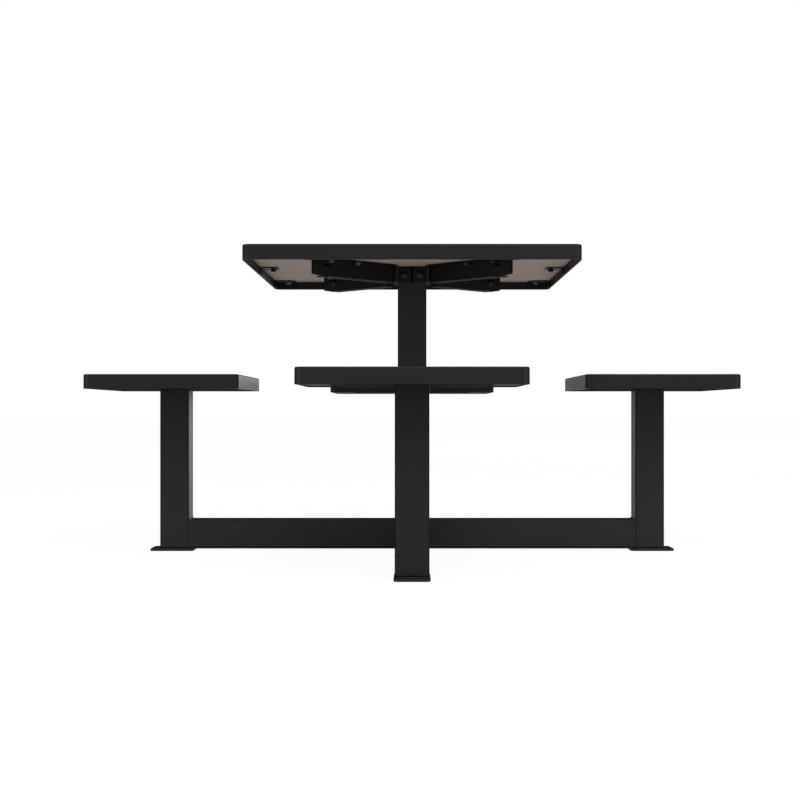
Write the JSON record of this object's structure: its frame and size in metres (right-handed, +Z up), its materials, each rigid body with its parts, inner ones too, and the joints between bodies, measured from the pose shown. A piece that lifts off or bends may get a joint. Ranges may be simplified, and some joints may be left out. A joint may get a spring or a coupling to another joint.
{
  "type": "square picnic table",
  "caption": "Square picnic table with a seat on each side, on a cross-shaped frame of square tube that bolts to the ground.",
  "frame": {"origin": "on the floor under the middle of the table top", "axes": "+Z up; +X and +Y along two of the four floor bars, -Y towards the seat that faces the viewer"},
  "size_m": [1.624, 1.624, 0.757],
  "materials": {
    "shell_coat": "satin powder coat",
    "frame_coat": "satin powder coat",
    "arm_coat": "satin powder coat",
    "board": "plain taupe board",
    "seat_board": "board painted black",
    "zinc": "bright zinc",
    "black_fastener": "black"
  },
  "bodies": {
    "root": {"table_shell": "shell_coat", "front_seat_shell": "shell_coat", "right_seat_shell": "shell_coat", "back_seat_shell": "shell_coat", "left_seat_shell": "shell_coat", "centre_post": "frame_coat", "centre_base_plate": "frame_coat", "front_bar": "frame_coat", "right_bar": "frame_coat", "back_bar": "frame_coat", "left_bar": "frame_coat", "front_post": "frame_coat", "right_post": "frame_coat", "back_post": "frame_coat", "left_post": "frame_coat", "front_base_plate": "frame_coat", "right_base_plate": "frame_coat", "back_base_plate": "frame_coat", "left_base_plate": "frame_coat", "front_seat_plate": "frame_coat", "right_seat_plate": "frame_coat", "back_seat_plate": "frame_coat", "left_seat_plate": "frame_coat", "front_left_arm_front_plate": "arm_coat", "front_right_arm_front_plate": "arm_coat", "back_left_arm_back_plate": "arm_coat", "back_right_arm_back_plate": "arm_coat", "front_left_arm_side_plate": "arm_coat", "front_right_arm_side_plate": "arm_coat", "back_left_arm_side_plate": "arm_coat", "back_right_arm_side_plate": "arm_coat", "front_clip": "arm_coat", "right_clip": "arm_coat", "back_clip": "arm_coat", "left_clip": "arm_coat", "front_left_clip": "arm_coat", "front_right_clip": "arm_coat", "back_left_clip": "arm_coat", "back_right_clip": "arm_coat", "table_board": "board", "front_seat_board": "seat_board", "right_seat_board": "seat_board", "back_seat_board": "seat_board", "left_seat_board": "seat_board", "corner_clip_screws": "zinc", "arm_board_screws": "zinc", "arm_post_nuts": "zinc", "arm_tie_nuts": "zinc", "arm_spacers": "zinc", "side_clip_screws": "black_fastener", "arm_post_bolts": "black_fastener", "arm_tie_bolts": "black_fastener", "seat_screws": "black_fastener"}
  },
  "joints": []
}
